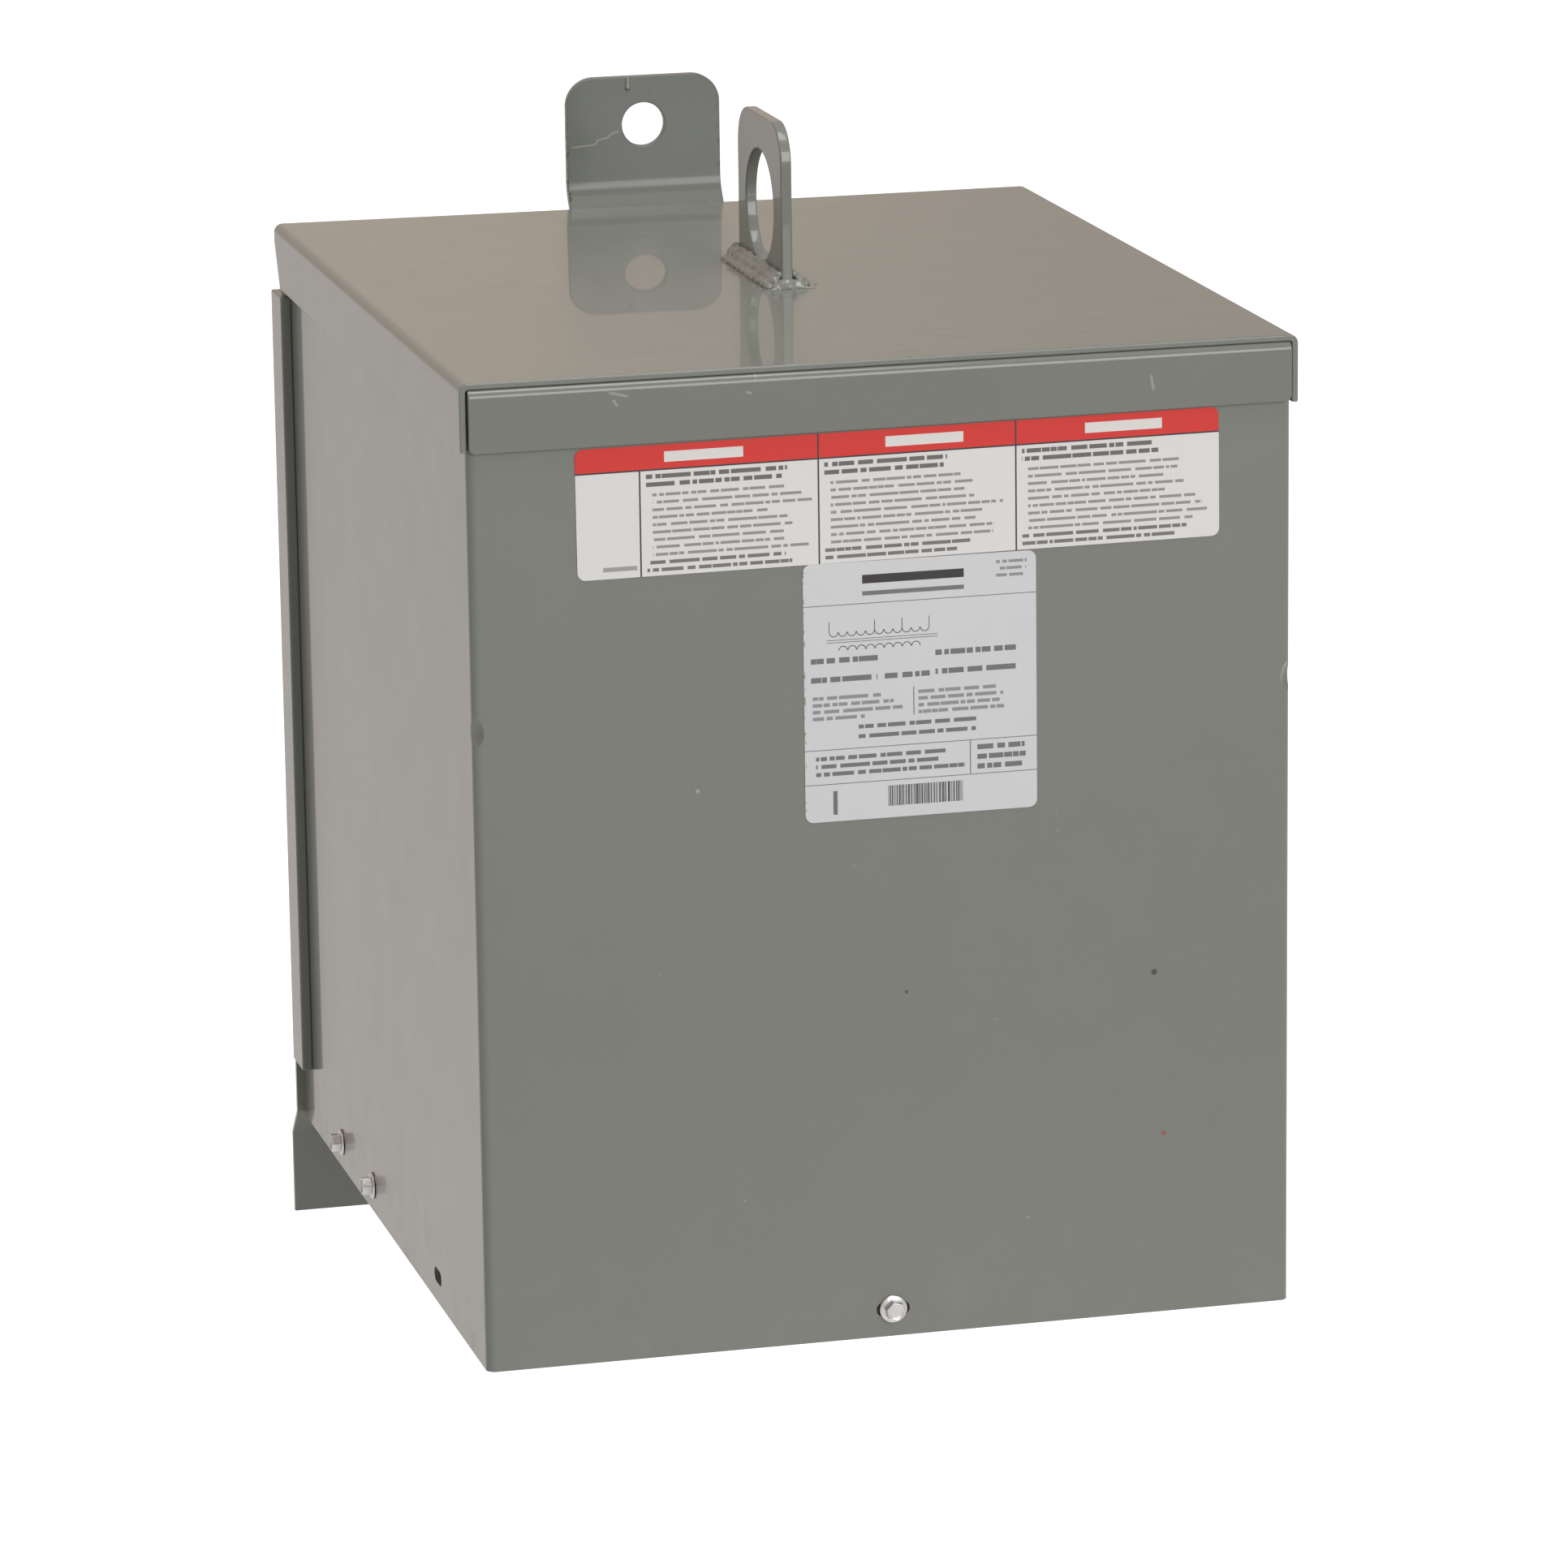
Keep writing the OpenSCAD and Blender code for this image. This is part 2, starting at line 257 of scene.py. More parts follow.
def material_graph(name):
    """A new material and its graph."""
    material = bpy.data.materials.new(name)
    material.use_nodes = True
    return material, Graph(material.node_tree)


print("shader helpers ready")

# %% [markdown]
# ## The studio
# The unit hangs in a white studio: a pale floor well below it, a white world and two soft boxes.
# The front box lights the front wall at about its written colour. The small box overhead puts
# the highlights on the bends that face upwards. The camera sees the world as white. Reflections
# see a warm, pale room, and the light that the world gives stays low.

# %% Lights and floor
FLOOR_DROP = 0.9
FLOOR_SIZE = 40.0
WHITE = (1.0, 1.0, 1.0, 1.0)
ROOM_GLOW = (0.70, 0.57, 0.48, 1.0)
ROOM_SHADE = (0.47, 0.39, 0.33, 1.0)
FLOOR_GLOW = (0.60, 0.52, 0.47, 1.0)
AMBIENT = (0.37, 0.37, 0.37, 1.0)
FLOOR_LIFT = 0.85


def softbox(name, azimuth, elevation, distance, size, watts):
    """A square area lamp that faces the object."""
    lamp = bpy.data.lights.new(name, "AREA")
    lamp.size = size
    lamp.energy = watts
    holder = bpy.data.objects.new(name, lamp)
    bpy.context.scene.collection.objects.link(holder)
    place = LOOK_AT + distance * direction(math.radians(azimuth), math.radians(elevation))
    holder.matrix_world = aimed(place, LOOK_AT)


softbox("front_softbox", 16, 20, 3.4, 1.6, 50)
softbox("top_softbox", 8, 80, 1.9, 0.8, 13)


def indirect(path):
    """1 on rays that see the scene in a mirror or through glass."""
    outputs = path.socket.node.outputs
    mirrored = Value(path.graph, outputs["Is Glossy Ray"])
    return mirrored.highest(Value(path.graph, outputs["Is Transmission Ray"]))


def build_world():
    """White to the camera, warm and pale in reflections, and a plain fill light otherwise."""
    world = bpy.data.worlds.new("studio")
    world.use_nodes = True
    bpy.context.scene.world = world
    graph = Graph(world.node_tree)
    path = graph.node("ShaderNodeLightPath", out="Is Camera Ray")
    x = graph.axes(graph.node("ShaderNodeTexCoord", out="Generated"))[0]
    room = graph.mix(x.rise(0.17, 0.31), ROOM_GLOW, ROOM_SHADE)
    colour = graph.mix(path, graph.mix(indirect(path), AMBIENT, room), WHITE)
    shader = graph.node("ShaderNodeBackground", None, {"Color": colour, "Strength": 1.0})
    graph.node_output(shader, "ShaderNodeOutputWorld")


def build_floor():
    """Pale floor that takes the shadow and looks white to the camera."""
    bm = bmesh.new()
    bmesh.ops.create_grid(bm, x_segments=1, y_segments=1, size=FLOOR_SIZE / 2)
    bmesh.ops.translate(bm, verts=bm.verts, vec=(0, 0, cad_box[0][2] - FLOOR_DROP))
    mesh = bpy.data.meshes.new("floor")
    bm.to_mesh(mesh)
    bm.free()
    floor = bpy.data.objects.new("floor", mesh)
    bpy.context.scene.collection.objects.link(floor)
    material, graph = material_graph("floor_white")
    path = graph.node("ShaderNodeLightPath", out="Is Camera Ray")
    seen = path.highest(indirect(path))
    tint = graph.mix(path, FLOOR_GLOW, WHITE)
    glow = {"Base Color": (0.9, 0.9, 0.9, 1), "Roughness": 0.9, "Emission Color": tint}
    glow["Specular IOR Level"] = 0.0
    lit = graph.node("ShaderNodeBsdfPrincipled", None, {**glow, "Emission Strength": FLOOR_LIFT})
    plain = graph.node("ShaderNodeBsdfPrincipled", None, {**glow, "Emission Strength": 0.0})
    graph.node_output(graph.node("ShaderNodeMixShader", None, {0: seen, 1: plain, 2: lit}))
    floor.data.materials.append(material)


build_world()
build_floor()
bpy.context.scene.view_settings.view_transform = "Standard"
print("studio: world, floor and two soft boxes")

# %% [markdown]
# ## Grey-green enamel
# The box is dipped or sprayed in a thick, glossy baked enamel. Up close such a film is never
# flat: it has orange peel, a slow waviness from the sheet below, dust caught while it was wet,
# and a few rubbed places. Its colour hardly varies, so the finish lives in the gloss: a clear
# coat over a slightly rougher base, both broken up by noise. All painted pieces share one
# function, which takes the marks of each piece.

# %% Enamel
ENAMEL = srgb(123, 126, 119)
DUST_PALE = srgb(170, 170, 160)
DUST_DARK = srgb(62, 60, 54)
RUBBED = srgb(150, 150, 141)


def enamel(name, marks=None, wave=1.0, peel=1.0, base=ENAMEL, coat=0.5, coat_rough=0.02):
    """Glossy enamel. marks(graph, place, colour, roughness) adds a piece's own wear."""
    material, graph = material_graph(name)
    place = graph.place()
    film = graph.noise(place, 9, 3)
    cloud = graph.noise(place, 45, 4)
    colour = graph.shade(base, 0.955 + 0.06 * film + 0.03 * cloud)
    grit = graph.noise(place, 420, 1)
    speck = graph.noise(place, 260, 0).rise(0.86, 0.9)
    colour = graph.mix(speck * 0.35, colour, DUST_PALE)
    colour = graph.mix(grit.rise(0.845, 0.87) * 0.5, colour, DUST_DARK)
    roughness = 0.24 + 0.08 * cloud + 0.06 * film
    if marks is not None:
        colour, roughness = marks(graph, place, colour, roughness)
    sheet = graph.noise(place, 14, 1)
    skin = graph.noise(place, 620, 2)
    normal = graph.bump(sheet, 0.0003 * wave)
    normal = graph.bump(skin, 0.000007 * peel, normal)
    graph.surface(
        Base_Color=colour,
        Roughness=roughness,
        Specular_IOR_Level=0.25,
        Coat_Weight=coat,
        Coat_Roughness=coat_rough,
        Coat_IOR=1.5,
        Normal=normal,
    )
    return material


# %% [markdown]
# ## Wear that belongs to one piece
# Some marks are in known places: four small specks on the front wall, rubbed patches on the
# lid, scuffs along the lip, a scratch and chips on the bracket. They are masks around points
# that are worked out from each piece's own corners.

# %% Marks on the wall, lid, lip, bracket and eye
wrap_low, wrap_high = (Vector(corner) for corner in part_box("enclosure_wrap"))
lid_low, lid_high = (Vector(corner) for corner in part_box("lid_sheet"))
lip_low = Vector(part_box("lid_lip")[0])
bracket_low, bracket_high = (Vector(corner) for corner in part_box("wall_bracket"))
eye_low, eye_high = (Vector(corner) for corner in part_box("lifting_eye"))

RUST = srgb(150, 70, 52)
# Specks on the front wall: x, height above the bottom edge, radius and colour.
WALL_SPECKS = (
    (0.0062, 0.131, 0.0006, DUST_DARK),
    (0.1006, 0.131, 0.0011, DUST_DARK),
    (0.1042, 0.069, 0.0008, RUST),
    (-0.071, 0.212, 0.0007, DUST_PALE),
)
# Scuffs on the lip: x and height above its lower edge, at the start and at the end.
LIP_SCUFFS = (
    (-0.1015, 0.0195, -0.0945, 0.0178),
    (-0.1, 0.0168, -0.0985, 0.0145),
    (-0.0515, 0.0168, -0.0495, 0.0162),
    (0.099, 0.014, 0.1, 0.0085),
)
# Corners of the bracket's scratch: share of its width, and depth below its top.
SCRATCH = (
    (0.03, 0.0275),
    (0.18, 0.0268),
    (0.2, 0.025),
    (0.26, 0.0243),
    (0.29, 0.0228),
    (0.34, 0.0218),
)
BRACKET_T = 0.004


def streak(graph, place, start, end, width):
    """Thin straight mark from start to end, broken up by noise."""
    start, end = Vector(start), Vector(end)
    length = (end - start).length
    along = (end - start) / length
    offset = graph.node("ShaderNodeVectorMath", {"operation": "SUBTRACT"}, {0: place, 1: start})
    sockets = {0: offset, 1: along}
    run = graph.node("ShaderNodeVectorMath", {"operation": "DOT_PRODUCT"}, sockets, out="Value")
    back = {0: along, "Scale": run}
    shadow = graph.node("ShaderNodeVectorMath", {"operation": "SCALE"}, back)
    sockets = {0: offset, 1: shadow}
    away = graph.node("ShaderNodeVectorMath", {"operation": "DISTANCE"}, sockets, out="Value")
    wobble = graph.noise(place, 500, 1)
    line = 1 - (away + 0.6 * width * (wobble - 0.5)).rise(width * 0.3, width * 0.7)
    return line * run.between(0, length, length * 0.2)


def wall_marks(graph, place, colour, roughness):
    """Specks on the front wall, and faint rubbing along the bottom."""
    front = wrap_low.y
    bottom = wrap_low.z
    for x, z, radius, tone in WALL_SPECKS:
        dot = graph.spot(place, (x, front, bottom + z), radius, radius * 0.4)
        colour = graph.mix(dot * 0.85, colour, tone)
    z = graph.axes(place)[2]
    rub = (1 - z.rise(bottom, bottom + 0.05)) * graph.noise(place, 60, 4).rise(0.5, 0.75)
    return graph.mix(rub * 0.12, colour, RUBBED), roughness + 0.1 * rub


def lid_marks(graph, place, colour, roughness):
    """Handled patches and faint drag marks on top of the lid, mostly near its front."""
    _, y, z = graph.axes(place)
    top = z.rise(lid_high.z - 0.004, lid_high.z - 0.001)
    patchy = graph.noise(place, 30, 5, 0.6).rise(0.55, 0.72)
    near_front = 1 - y.rise(lid_low.y, lid_low.y + 0.12)
    patch = patchy * top * (0.25 + 0.75 * near_front)
    colour = graph.mix(patch * 0.10, colour, RUBBED)
    drag = graph.noise(place, 130, 3).rise(0.66, 0.74) * top * near_front
    return graph.mix(drag * 0.2, colour, DUST_PALE), roughness + 0.12 * patch + 0.1 * drag


def lip_marks(graph, place, colour, roughness):
    """Light scuffs, most of them near the left end of the lip."""
    face = lip_low.y
    low = lip_low.z
    for x0, z0, x1, z1 in LIP_SCUFFS:
        mark = streak(graph, place, (x0, face, low + z0), (x1, face, low + z1), 0.0009)
        colour = graph.mix(mark * 0.55, colour, DUST_PALE)
        roughness = roughness + 0.15 * mark
    return colour, roughness


def bracket_marks(graph, place, colour, roughness):
    """A jagged scratch across the left half, worn edges and small dark chips."""
    x = graph.axes(place)[0]
    wide = bracket_high.x - bracket_low.x
    front = bracket_high.y - BRACKET_T
    points = [
        (bracket_low.x + share * wide, front, bracket_high.z - depth) for share, depth in SCRATCH
    ]
    for start, end in zip(points, points[1:]):
        mark = streak(graph, place, start, end, 0.0007)
        colour = graph.mix(mark * 0.5, colour, DUST_PALE)
    side = abs(x - (bracket_low.x + bracket_high.x) / 2)
    edge = side.rise(wide / 2 - 0.0022, wide / 2 - 0.0004)
    chips = edge * graph.noise(place, 240, 3).rise(0.56, 0.62)
    colour = graph.mix(chips * 0.7, colour, DUST_DARK)
    flecks = graph.noise(place, 330, 2).rise(0.74, 0.78)
    colour = graph.mix(flecks * 0.35, colour, DUST_PALE)
    return colour, roughness + 0.15 * chips


def eye_marks(graph, place, colour, roughness):
    """Heat-dulled, spattered enamel towards the weld."""
    z = graph.axes(place)[2]
    low = 1 - z.rise(eye_low.z, eye_low.z + 0.016)
    dull = low * graph.noise(place, 210, 3).rise(0.45, 0.6)
    colour = graph.mix(dull * 0.3, colour, RUBBED)
    return colour, roughness + 0.18 * dull


paint_wall = enamel("enamel_wall", wall_marks)
paint_lid = enamel("enamel_lid", lid_marks, wave=0.8)
# Painted shade: the lip's base colour is darker than ENAMEL so that the top of the front looks
# shaded.
paint_lip = enamel("enamel_lip", lip_marks, base=srgb(118, 121, 114))
# Painted shade: the bracket's base colour is darker than ENAMEL so that its face looks shaded.
paint_bracket = enamel(
    "enamel_bracket",
    bracket_marks,
    wave=0.6,
    peel=1.6,
    base=srgb(110, 113, 107),
    coat=0.25,
    coat_rough=0.12,
)
paint_eye = enamel("enamel_eye", eye_marks, wave=0.6, peel=1.6)
paint_plain = enamel("enamel_plain")
print("enamel: six materials")

# %% [markdown]
# ## Rounded sheet edges
# A sheared steel sheet under paint has no sharp edge: the film pulls into a small round, and that
# round carries the thin highlight that makes sheet metal look real. A copy of each CAD piece is
# merged, its flat triangles are dissolved, and its sharp edges are bevelled. The copy stands for
# the CAD node. A weighted-normal modifier keeps the large faces flat in the shading.

# %% Helpers for pieces that stand for CAD nodes
SHARP = math.radians(28)
SEAM = math.radians(50)


def merged_copy(node):
    """A bmesh of a CAD node with its doubles merged and its flat triangles dissolved."""
    bm = bmesh.new()
    bm.from_mesh(nodes[node].data)
    bmesh.ops.remove_doubles(bm, verts=bm.verts, dist=0.000002)
    flat = math.radians(0.5)
    bmesh.ops.dissolve_limit(bm, angle_limit=flat, verts=bm.verts, edges=bm.edges)
    return bm


def round_edges(bm, radius, segments=3):
    """Bevels the sharp edges of a bmesh."""
    sharp = [e for e in bm.edges if e.is_manifold and e.calc_face_angle() > SHARP]
    bmesh.ops.bevel(
        bm,
        geom=sharp,
        offset=radius,
        offset_type="OFFSET",
        affect="EDGES",
        segments=segments,
        profile=0.5,
        material=-1,
        clamp_overlap=True,
    )


def add_piece(bm, name, material, stands_for, weighted=True):
    """Turns a bmesh into a finished piece that rides on the body."""
    for face in bm.faces:
        face.smooth = True
    for edge in bm.edges:
        edge.smooth = len(edge.link_faces) == 2 and edge.calc_face_angle() < SEAM
    mesh = bpy.data.meshes.new(name)
    bm.to_mesh(mesh)
    bm.free()
    piece = bpy.data.objects.new(name, mesh)
    bpy.context.scene.collection.objects.link(piece)
    mesh.materials.append(material)
    if weighted:
        modifier = piece.modifiers.new("flat_faces", "WEIGHTED_NORMAL")
        modifier.keep_sharp = True
    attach(piece, "root")
    if stands_for:
        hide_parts(*stands_for)
    return piece


def dress(node, material):
    """Gives a CAD node its material."""
    mesh = nodes[node].data
    mesh.materials.clear()
    mesh.materials.append(material)


# %% Bracket, eye, back plate and seam strips
ROUND = {
    "wall_bracket": (0.0014, paint_bracket),
    "lifting_eye": (0.0007, paint_eye),
    "back_plate": (0.0005, paint_plain),
    "seam_strip_left": (0.0007, paint_plain),
    "seam_strip_right": (0.0007, paint_plain),
}
for node, (radius, material) in ROUND.items():
    bm = merged_copy(node)
    round_edges(bm, radius)
    piece = add_piece(bm, node + "_rounded", material, [node])
    print(piece.name, len(piece.data.polygons), "faces")

# %% [markdown]
# ## The lid
# The lid is one folded sheet, and welding pulls it: its top is crowned by more than a
# millimetre, one back corner is raised, and the drip lip climbs a little. That slight curve
# decides how long the bracket's reflection in it is. So both pieces are cut into strips with
# bisect_plane, and every vertex is lifted by the same formula.

# %% Crowned lid and drip lip
CROWN = 0.0016
CORNER_RISE = 0.0012
LIP_RISE = 0.0012
STRIPS = 24


def lid_rise(x, y):
    """How far welding has lifted the lid at a place: a pillow, and a raised back left corner."""
    depth = 2 * (y - lid_low.y) / (lid_high.y - lid_low.y) - 1
    across = 2 * (x - lid_low.x) / (lid_high.x - lid_low.x) - 1
    pillow = (1 - depth**2) * (1 - across**4)
    corner = ((1 - across) / 2) ** 2 * ((1 + depth) / 2) ** 2
    return CROWN * pillow + CORNER_RISE * corner


def cut_in_strips(bm, low, high, count, axis):
    """Cuts a bmesh with parallel planes, so that it can bend."""
    for step in range(1, count):
        point = low + (high - low) * step / count
        geometry = bm.verts[:] + bm.edges[:] + bm.faces[:]
        bmesh.ops.bisect_plane(bm, geom=geometry, plane_co=axis * point, plane_no=axis, dist=0.00001)


for node, material, radius in (
    ("lid_sheet", paint_lid, 0.0006),
    ("lid_lip", paint_lip, 0.0005),
):
    bm = merged_copy(node)
    round_edges(bm, radius)
    low, high = (Vector(corner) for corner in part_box(node))
    if node == "lid_sheet":
        cut_in_strips(bm, low.y, high.y, STRIPS, Vector((0, 1, 0)))
    cut_in_strips(bm, low.x, high.x, STRIPS // 3, Vector((1, 0, 0)))
    for vertex in bm.verts:
        x, y, z = vertex.co
        vertex.co.z += lid_rise(x, y)
        if node == "lid_lip":
            across = (x - low.x) / (high.x - low.x)
            vertex.co.z += LIP_RISE * across * (high.z - z) / (high.z - low.z)
    piece = add_piece(bm, node + "_settled", material, [node])
    print(piece.name, len(piece.data.polygons), "faces")

# %% [markdown]
# ## Weld beads
# A hand-laid bead is a row of overlapping puddles, each a little different, with drops of
# spatter beside it. Balls are set along each bead and a voxel remesh melts them into one skin.
# That gives the ripples for free, where a bevelled strip would look machined. Enamel over a
# bead is thick and a little rough.

# %% Enamel over a weld
material, graph = material_graph("enamel_weld")
place = graph.place()
lump = graph.noise(place, 380, 4)
colour = graph.shade(srgb(128, 130, 122), 0.86 + 0.28 * lump)
colour = graph.mix(graph.noise(place, 620, 2).rise(0.66, 0.74) * 0.6, colour, DUST_DARK)
graph.surface(
    Base_Color=colour,
    Roughness=0.26 + 0.2 * lump,
    Coat_Weight=0.5,
    Coat_Roughness=0.15,
    Normal=graph.bump(lump, 0.00025),
)
paint_weld = material

# %% Beads of melted balls
VOXEL = 0.00055
SPATTER = 9
TIP_STEPS = 8
BEAD_R = 0.0034
BEAD_INSET = 0.0012
chance = random.Random(7)


def ball(bm, centre, radius, squash=1.0):
    """Adds one puddle to a bead."""
    made = bmesh.ops.create_icosphere(bm, subdivisions=2, radius=radius)["verts"]
    bmesh.ops.scale(bm, verts=made, vec=(1, 1, squash))
    bmesh.ops.translate(bm, verts=made, vec=centre)


def melt(bm, name, stands_for):
    """Melts the balls of a bmesh into one smooth skin."""
    piece = add_piece(bm, name, paint_weld, stands_for, weighted=False)
    skin = piece.modifiers.new("melt", "REMESH")
    skin.mode = "VOXEL"
    skin.voxel_size = VOXEL
    skin.use_smooth_shade = True
    calm = piece.modifiers.new("calm", "SMOOTH")
    calm.iterations = 2
    calm.factor = 0.5
    print(name, "melted from", len(piece.data.vertices), "vertices")


def bead(bm, start, end, radius, pitch):
    """Row of puddles from start to end."""
    start, end = Vector(start), Vector(end)
    count = max(2, round((end - start).length / pitch))
    for index in range(count + 1):
        jitter = Vector([chance.uniform(-0.16, 0.16) * radius for _ in range(3)])
        puddle = radius * chance.uniform(0.82, 1.12)
        ball(bm, start.lerp(end, index / count) + jitter, puddle, chance.uniform(0.85, 1.0))


eye_middle = (eye_low + eye_high) / 2
eye_half_t = (eye_high.x - eye_low.x) / 2
FILLET = ((0.0008, 0.0046, 0.0018), (0.0026, 0.0026, 0.0023), (0.0050, 0.0004, 0.0023))
for side, name in ((-1, "left"), (1, "right")):
    bm = bmesh.new()
    for out, up, radius in FILLET:
        x = eye_middle.x + side * (eye_half_t + out)
        z = eye_low.z + lid_rise(x, eye_middle.y) + up
        bead(bm, (x, eye_low.y + 0.001, z), (x, eye_high.y + 0.001, z), radius, 0.0024)
    for _ in range(SPATTER):
        across = side * (eye_half_t + chance.uniform(0.006, 0.010))
        along = chance.uniform(eye_low.y - 0.004, eye_high.y + 0.006)
        drop = (eye_middle.x + across, along, eye_low.z + CROWN)
        ball(bm, drop, chance.uniform(0.0006, 0.0011), 0.7)
    melt(bm, f"eye_bead_{name}", [f"eye_weld_{name}"])
TIPS = ((58, 0.0105), (-62, 0.0080), (8, 0.0060))
for end, name in ((eye_low.y, "front"), (eye_high.y, "back")):
    bm = bmesh.new()
    way = -1 if name == "front" else 1
    tip = Vector((eye_middle.x, end, eye_low.z + lid_rise(eye_middle.x, end)))
    bead(bm, tip + Vector((-0.004, 0, 0)), tip + Vector((0.004, 0, 0)), BEAD_R, 0.0022)
    for angle, reach in TIPS:
        turn = math.radians(angle)
        outward = Vector((math.sin(turn), way * math.cos(turn), 0))
        for step in range(TIP_STEPS):
            share = step / (TIP_STEPS - 1)
            ball(bm, tip + outward * reach * share, 0.0028 - 0.0022 * share, 0.8)
    melt(bm, f"eye_bead_{name}", [f"eye_weld_{name}"])

for side in ("left", "right"):
    node = f"bracket_weld_{side}"
    low, high = (Vector(corner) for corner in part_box(node))
    x = low.x + BEAD_INSET if side == "right" else high.x - BEAD_INSET
    y = high.y + BEAD_INSET if high.y < bracket_low.y + 0.001 else low.y + BEAD_INSET
    bm = bmesh.new()
    bead(bm, (x, y, low.z + 0.003), (x, y, high.z - 0.003), BEAD_R, 0.003)
    melt(bm, f"bracket_bead_{side}", [node])

# %% A run in the enamel at the top of the bracket
# Drops of the run: depth below the bracket's top, and radius.
RUN_DROPS = ((0.0012, 0.0010), (0.0022, 0.0011), (0.0034, 0.0012), (0.0044, 0.0014))

bm = bmesh.new()
run_x = bracket_low.x + 0.4 * (bracket_high.x - bracket_low.x)
for drop, radius in RUN_DROPS:
    ball(bm, (run_x, bracket_high.y - 0.0039, bracket_high.z - drop), radius)
melt(bm, "enamel_run", [])

# %% [markdown]
# ## Screws
# The bottom cover is held by zinc-plated hexagonal screws with a rolled washer flange and a
# shallow dish in the head. The flange is spun from its profile. The head is a six-sided cone
# whose top is inset and pushed in. Each is built pointing up and then turned out of its wall.

# %% Zinc and the screws
material, graph = material_graph("zinc_plate")
place = graph.place()
patch = graph.noise(place, 350, 3)
fine = graph.noise(place, 1800, 2)
colour = graph.mix(patch, srgb(176, 182, 190), srgb(214, 214, 210))
graph.surface(
    Base_Color=colour,
    Metallic=1.0,
    Roughness=0.24 + 0.18 * patch + 0.08 * fine,
    Normal=graph.bump(fine, 0.00003),
)
zinc = material

FLANGE_R = 0.00525
HEX_R = 0.0039
HEAD_H = 0.0046
FLANGE_H = 0.0011
THREAD_R = 0.0024
THREAD_LEN = 0.014
RIM_W = 0.0007
DISH_W = 0.0006
DISH_DEPTH = 0.0006
HEX_ROUND = 0.00035


def spun(bm, profile):
    """Spins a profile of (radius, height) points about the Z axis."""
    points = [bm.verts.new((radius, 0, height)) for radius, height in profile]
    edges = [bm.edges.new(pair) for pair in zip(points, points[1:])]
    bmesh.ops.spin(
        bm,
        geom=points + edges,
        cent=(0, 0, 0),
        axis=(0, 0, 1),
        angle=math.tau,
        steps=40,
        use_merge=True,
    )
    bmesh.ops.remove_doubles(bm, verts=bm.verts, dist=0.000002)


def screw(node):
    """A hexagonal flange screw in the place of a CAD screw."""
    low, high = (Vector(corner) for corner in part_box(node))
    bm = bmesh.new()
    spun(
        bm,
        (
            (0, -THREAD_LEN),
            (THREAD_R * 0.6, -THREAD_LEN),
            (THREAD_R, -THREAD_LEN + 0.001),
            (THREAD_R, 0),
            (FLANGE_R - 0.0002, 0),
            (FLANGE_R, 0.0002),
            (FLANGE_R, 0.0006),
            (FLANGE_R - 0.0003, 0.0009),
            (HEX_R * 0.9, FLANGE_H + 0.0002),
            (0, FLANGE_H + 0.0002),
        ),
    )
    made = bmesh.ops.create_cone(
        bm, cap_ends=True, segments=6, radius1=HEX_R, radius2=HEX_R * 0.97, depth=HEAD_H - FLANGE_H
    )["verts"]
    bmesh.ops.translate(bm, verts=made, vec=(0, 0, (HEAD_H + FLANGE_H) / 2))
    bm.normal_update()
    top = max((f for f in bm.faces if len(f.verts) == 6), key=lambda f: f.calc_center_median().z)
    rim = list(top.edges)
    upright = [e for v in top.verts for e in v.link_edges if e not in rim]
    bmesh.ops.inset_region(bm, faces=[top], thickness=RIM_W, depth=0.0)
    bmesh.ops.inset_region(bm, faces=[top], thickness=DISH_W, depth=-DISH_DEPTH)
    bmesh.ops.bevel(
        bm,
        geom=rim + upright,
        offset=HEX_ROUND,
        affect="EDGES",
        segments=3,
        profile=0.5,
        material=-1,
        clamp_overlap=True,
    )
    bmesh.ops.recalc_face_normals(bm, faces=bm.faces)
    middle = (low + high) / 2
    if "front" in node:
        turn = Matrix.Rotation(math.radians(90), 3, "X")
        seat = Vector((middle.x, wrap_low.y, middle.z))
    else:
        side = -1 if "left" in node else 1
        turn = Matrix.Rotation(side * math.radians(90), 3, "Y")
        wall = wrap_low.x if side < 0 else wrap_high.x
        seat = Vector((wall, middle.y, middle.z))
    spin = Matrix.Rotation(chance.uniform(0, math.radians(60)), 3, "Z")
    bmesh.ops.transform(bm, matrix=(turn @ spin).to_4x4(), verts=bm.verts)
    bmesh.ops.translate(bm, verts=bm.verts, vec=seat)
    piece = add_piece(bm, node + "_turned", zinc, [node])
    print(piece.name, "seated at", [round(x, 4) for x in seat])


for node in sorted(nodes):
    if node.startswith("screw_"):
        screw(node)

# %% [markdown]
# ## Labels
# Two printed stickers sit on the front wall. Their layout is kept, with its bands, rules, rows
# and stripes, and nothing on them can be read: rows of plain bars stand where words would be.
# All of it is worked out from millimetres measured from a sticker's upper left corner, so the
# print stays sharp at any size. The wide sticker is turned a little, as it was stuck on by hand.

# %% Print helpers
INK = srgb(38, 36, 38)
SOFT_INK = srgb(112, 110, 112)


def sheet_position(graph, low, high, slope=0.0):
    """Millimetres to the right of and below a sticker's upper left corner."""
    x, _, z = graph.axes(graph.place())
    right = (x - low.x) * 1000
    below = (high.z - z) * 1000 + slope * (right - (high.x - low.x) * 500)
    return right, below


def rows(graph, right, below, left_end, right_end, first, pitch, count, height, seed, ragged=0.3):
    """Mask of rows of word-long bars."""
    row = ((below - first) / pitch + 0.5).floor()
    off = abs(below - first - row * pitch)
    bar = 1 - off.rise(height / 2 - 0.1, height / 2 + 0.1)
    length = graph.node(
        "ShaderNodeTexWhiteNoise", {"noise_dimensions": "1D"}, {"W": row * 3.7 + seed}, out="Value"
    )
    stop = right_end - (right_end - left_end) * ragged * length
    inside = row.between(-0.5, count - 0.5, 0.02) * right.rise(left_end, left_end + 0.2)
    words = graph.noise_along(right + row * 31.7 + seed * 11, 0.42).rise(0.36, 0.38)
    return bar * inside * (right < stop) * words


